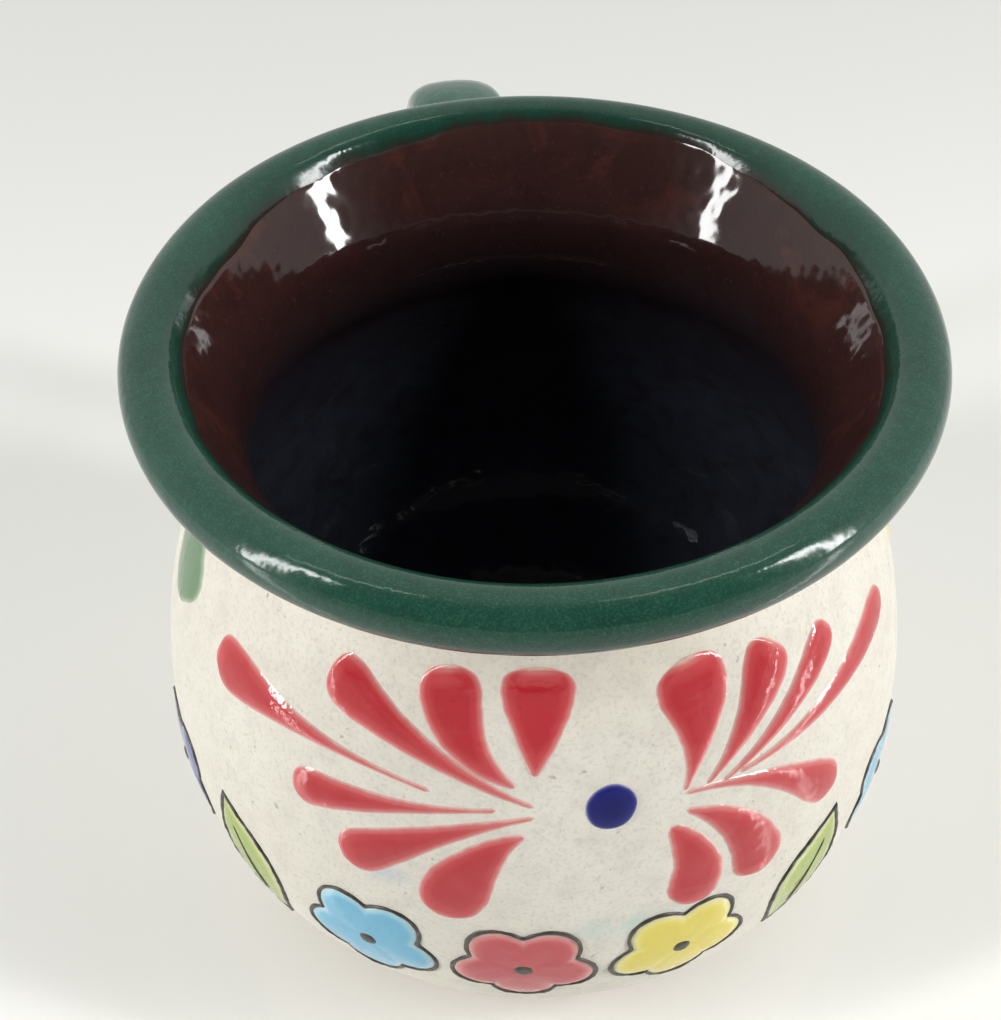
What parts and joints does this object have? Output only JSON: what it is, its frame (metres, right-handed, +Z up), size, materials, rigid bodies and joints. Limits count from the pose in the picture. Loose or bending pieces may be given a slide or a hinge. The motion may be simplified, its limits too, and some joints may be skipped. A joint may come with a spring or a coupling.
{
  "type": "mug",
  "caption": "Round-bellied clay mug with a rolled lip, an ear handle and a brush-painted flower over a painted border.",
  "frame": {"origin": "centre of the foot ring's lower face, on the surface the mug stands on", "axes": "+Z up along the pot's axis, +Y from the axis to the handle, -Y to the painted flower"},
  "size_m": [0.0943, 0.1199, 0.092],
  "materials": {
    "clay": "matte",
    "slip": "satin",
    "green_glaze": "gloss",
    "brown_glaze": "gloss",
    "red_enamel": "gloss",
    "cobalt_enamel": "gloss",
    "green_enamel": "gloss",
    "straw_enamel": "gloss",
    "border_blue_enamel": "gloss",
    "border_lime_enamel": "gloss",
    "border_sky_enamel": "gloss",
    "border_red_enamel": "gloss",
    "border_yellow_enamel": "gloss",
    "dark_enamel": "gloss"
  },
  "bodies": {
    "root": {"clay_body": "clay", "slip_coat": "slip", "lip_glaze": "green_glaze", "liner_glaze": "brown_glaze", "handle": "clay", "handle_glaze": "green_glaze", "upper_lute": "clay", "lower_lute": "clay", "red_strokes_left": "red_enamel", "red_strokes_right": "red_enamel", "blue_dot": "cobalt_enamel", "green_side_stroke": "green_enamel", "yellow_side_stroke": "straw_enamel", "border_blue": "border_blue_enamel", "border_lime": "border_lime_enamel", "border_sky": "border_sky_enamel", "border_red": "border_red_enamel", "border_yellow": "border_yellow_enamel", "border_outlines": "dark_enamel"}
  },
  "joints": []
}
